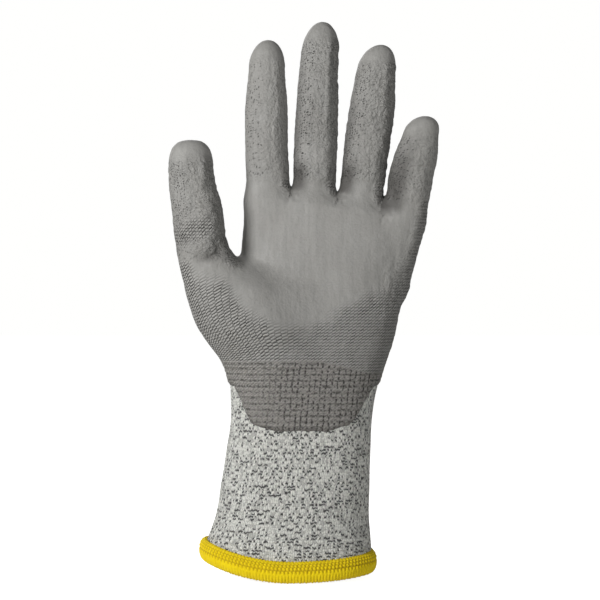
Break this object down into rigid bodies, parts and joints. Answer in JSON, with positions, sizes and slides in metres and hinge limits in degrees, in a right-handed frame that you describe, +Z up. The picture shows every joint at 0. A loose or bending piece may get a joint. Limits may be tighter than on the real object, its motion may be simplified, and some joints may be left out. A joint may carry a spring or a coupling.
{
  "type": "cut resistant glove",
  "caption": "Left-hand knitted cut resistant work glove with a dipped grey palm coating, elastic knitted cuff and yellow overlocked hem, folding at the wrist and finger joints.",
  "frame": {"origin": "under the middle of the glove's box, at the height of the hem's flat end; the wrist's middle is above it", "axes": "+Z up the hand to the fingertips, the palm faces -Y, the thumb is on the -X side"},
  "size_m": [0.1252, 0.0576, 0.259],
  "materials": {
    "knit": "grey melange seamless knit, light and dark yarns, matt",
    "coating": "thin grey polyurethane dip, matt with a soft sheen, leathery over the knit",
    "hem_yarn": "yellow textured overlock yarn",
    "elastic_yarn": "covered elastic yarn, off-white"
  },
  "bodies": {
    "cuff": {"cuff_knit": "knit", "cuff_coating": "coating", "cuff_elastic_yarn": "elastic_yarn", "hem_overlock": "hem_yarn", "hem_needle_thread": "hem_yarn"},
    "hand": {"hand_liner": "knit", "palm_coating": "coating", "wrist_crease": "knit"},
    "thumb_lower": {"thumb_lower_liner": "knit", "thumb_lower_coating": "coating", "thumb_root_crease": "coating"},
    "thumb_tip": {"thumb_tip_liner": "knit", "thumb_tip_coating": "coating", "thumb_tip_crease": "coating"},
    "index_lower": {"index_lower_liner": "knit", "index_lower_coating": "coating", "index_root_crease": "coating"},
    "index_middle": {"index_middle_liner": "knit", "index_middle_coating": "coating", "index_middle_crease": "coating"},
    "index_tip": {"index_tip_liner": "knit", "index_tip_coating": "coating", "index_tip_crease": "coating"},
    "middle_lower": {"middle_lower_liner": "knit", "middle_lower_coating": "coating", "middle_root_crease": "coating"},
    "middle_middle": {"middle_middle_liner": "knit", "middle_middle_coating": "coating", "middle_middle_crease": "coating"},
    "middle_tip": {"middle_tip_liner": "knit", "middle_tip_coating": "coating", "middle_tip_crease": "coating"},
    "ring_lower": {"ring_lower_liner": "knit", "ring_lower_coating": "coating", "ring_root_crease": "coating"},
    "ring_middle": {"ring_middle_liner": "knit", "ring_middle_coating": "coating", "ring_middle_crease": "coating"},
    "ring_tip": {"ring_tip_liner": "knit", "ring_tip_coating": "coating", "ring_tip_crease": "coating"},
    "little_lower": {"little_lower_liner": "knit", "little_lower_coating": "coating", "little_root_crease": "coating"},
    "little_middle": {"little_middle_liner": "knit", "little_middle_coating": "coating", "little_middle_crease": "coating"},
    "little_tip": {"little_tip_liner": "knit", "little_tip_coating": "coating", "little_tip_crease": "coating"}
  },
  "joints": [
    {"name": "wrist_fold", "type": "hinge", "parent": "cuff", "child": "hand", "pos_m": [0.00041, 0.00013, 0.087], "axis": [1, 0, 0], "range_deg": [-35, 35], "stiffness_Nm_per_rad": 0.12, "deforming": ["wrist_crease"]},
    {"name": "thumb_root_fold", "type": "hinge", "parent": "hand", "child": "thumb_lower", "pos_m": [-0.04731, -0.0133, 0.157], "axis": [0.858, 0.4931, 0.1436], "range_deg": [-12, 50], "stiffness_Nm_per_rad": 0.02, "deforming": ["thumb_root_crease"]},
    {"name": "thumb_tip_fold", "type": "hinge", "parent": "thumb_lower", "child": "thumb_tip", "pos_m": [-0.05041, -0.01475, 0.18], "axis": [0.852, 0.4897, 0.1853], "range_deg": [-10, 60], "stiffness_Nm_per_rad": 0.02, "deforming": ["thumb_tip_crease"]},
    {"name": "index_root_fold", "type": "hinge", "parent": "hand", "child": "index_lower", "pos_m": [-0.01667, -0.00256, 0.1895], "axis": [0.9988, 0, 0.0499], "range_deg": [-12, 70], "stiffness_Nm_per_rad": 0.02, "deforming": ["index_root_crease"]},
    {"name": "index_middle_fold", "type": "hinge", "parent": "index_lower", "child": "index_middle", "pos_m": [-0.01748, -0.00475, 0.21], "axis": [0.9999, 0, 0.0146], "range_deg": [-4, 80], "stiffness_Nm_per_rad": 0.02, "deforming": ["index_middle_crease"]},
    {"name": "index_tip_fold", "type": "hinge", "parent": "index_middle", "child": "index_tip", "pos_m": [-0.01699, -0.00815, 0.231], "axis": [0.9991, 0, -0.0423], "range_deg": [-4, 45], "stiffness_Nm_per_rad": 0.02, "deforming": ["index_tip_crease"]},
    {"name": "middle_root_fold", "type": "hinge", "parent": "hand", "child": "middle_lower", "pos_m": [0.00544, -0.00237, 0.1895], "axis": [0.9994, 0, -0.0333], "range_deg": [-12, 70], "stiffness_Nm_per_rad": 0.02, "deforming": ["middle_root_crease"]},
    {"name": "middle_middle_fold", "type": "hinge", "parent": "middle_lower", "child": "middle_middle", "pos_m": [0.00613, -0.0043, 0.212], "axis": [0.9992, 0, -0.0405], "range_deg": [-4, 80], "stiffness_Nm_per_rad": 0.02, "deforming": ["middle_middle_crease"]},
    {"name": "middle_tip_fold", "type": "hinge", "parent": "middle_middle", "child": "middle_tip", "pos_m": [0.00746, -0.00808, 0.235], "axis": [0.9978, 0, -0.0662], "range_deg": [-4, 45], "stiffness_Nm_per_rad": 0.02, "deforming": ["middle_tip_crease"]},
    {"name": "ring_root_fold", "type": "hinge", "parent": "hand", "child": "ring_lower", "pos_m": [0.02828, -0.00273, 0.188], "axis": [0.9934, 0, -0.115], "range_deg": [-12, 70], "stiffness_Nm_per_rad": 0.02, "deforming": ["ring_root_crease"]},
    {"name": "ring_middle_fold", "type": "hinge", "parent": "ring_lower", "child": "ring_middle", "pos_m": [0.03061, -0.00535, 0.208], "axis": [0.9929, 0, -0.1186], "range_deg": [-4, 80], "stiffness_Nm_per_rad": 0.02, "deforming": ["ring_middle_crease"]},
    {"name": "ring_tip_fold", "type": "hinge", "parent": "ring_middle", "child": "ring_tip", "pos_m": [0.03338, -0.00962, 0.2285], "axis": [0.9876, 0, -0.157], "range_deg": [-4, 45], "stiffness_Nm_per_rad": 0.02, "deforming": ["ring_tip_crease"]},
    {"name": "little_root_fold", "type": "hinge", "parent": "hand", "child": "little_lower", "pos_m": [0.04907, -0.00575, 0.18], "axis": [0.9905, 0, -0.1372], "range_deg": [-12, 55], "stiffness_Nm_per_rad": 0.02, "deforming": ["little_root_crease"]},
    {"name": "little_middle_fold", "type": "hinge", "parent": "little_lower", "child": "little_middle", "pos_m": [0.05124, -0.01079, 0.1915], "axis": [0.9749, 0, -0.2226], "range_deg": [-4, 60], "stiffness_Nm_per_rad": 0.02, "deforming": ["little_middle_crease"]},
    {"name": "little_tip_fold", "type": "hinge", "parent": "little_middle", "child": "little_tip", "pos_m": [0.05404, -0.01661, 0.203], "axis": [0.9689, 0, -0.2476], "range_deg": [-4, 40], "stiffness_Nm_per_rad": 0.02, "deforming": ["little_tip_crease"]}
  ]
}
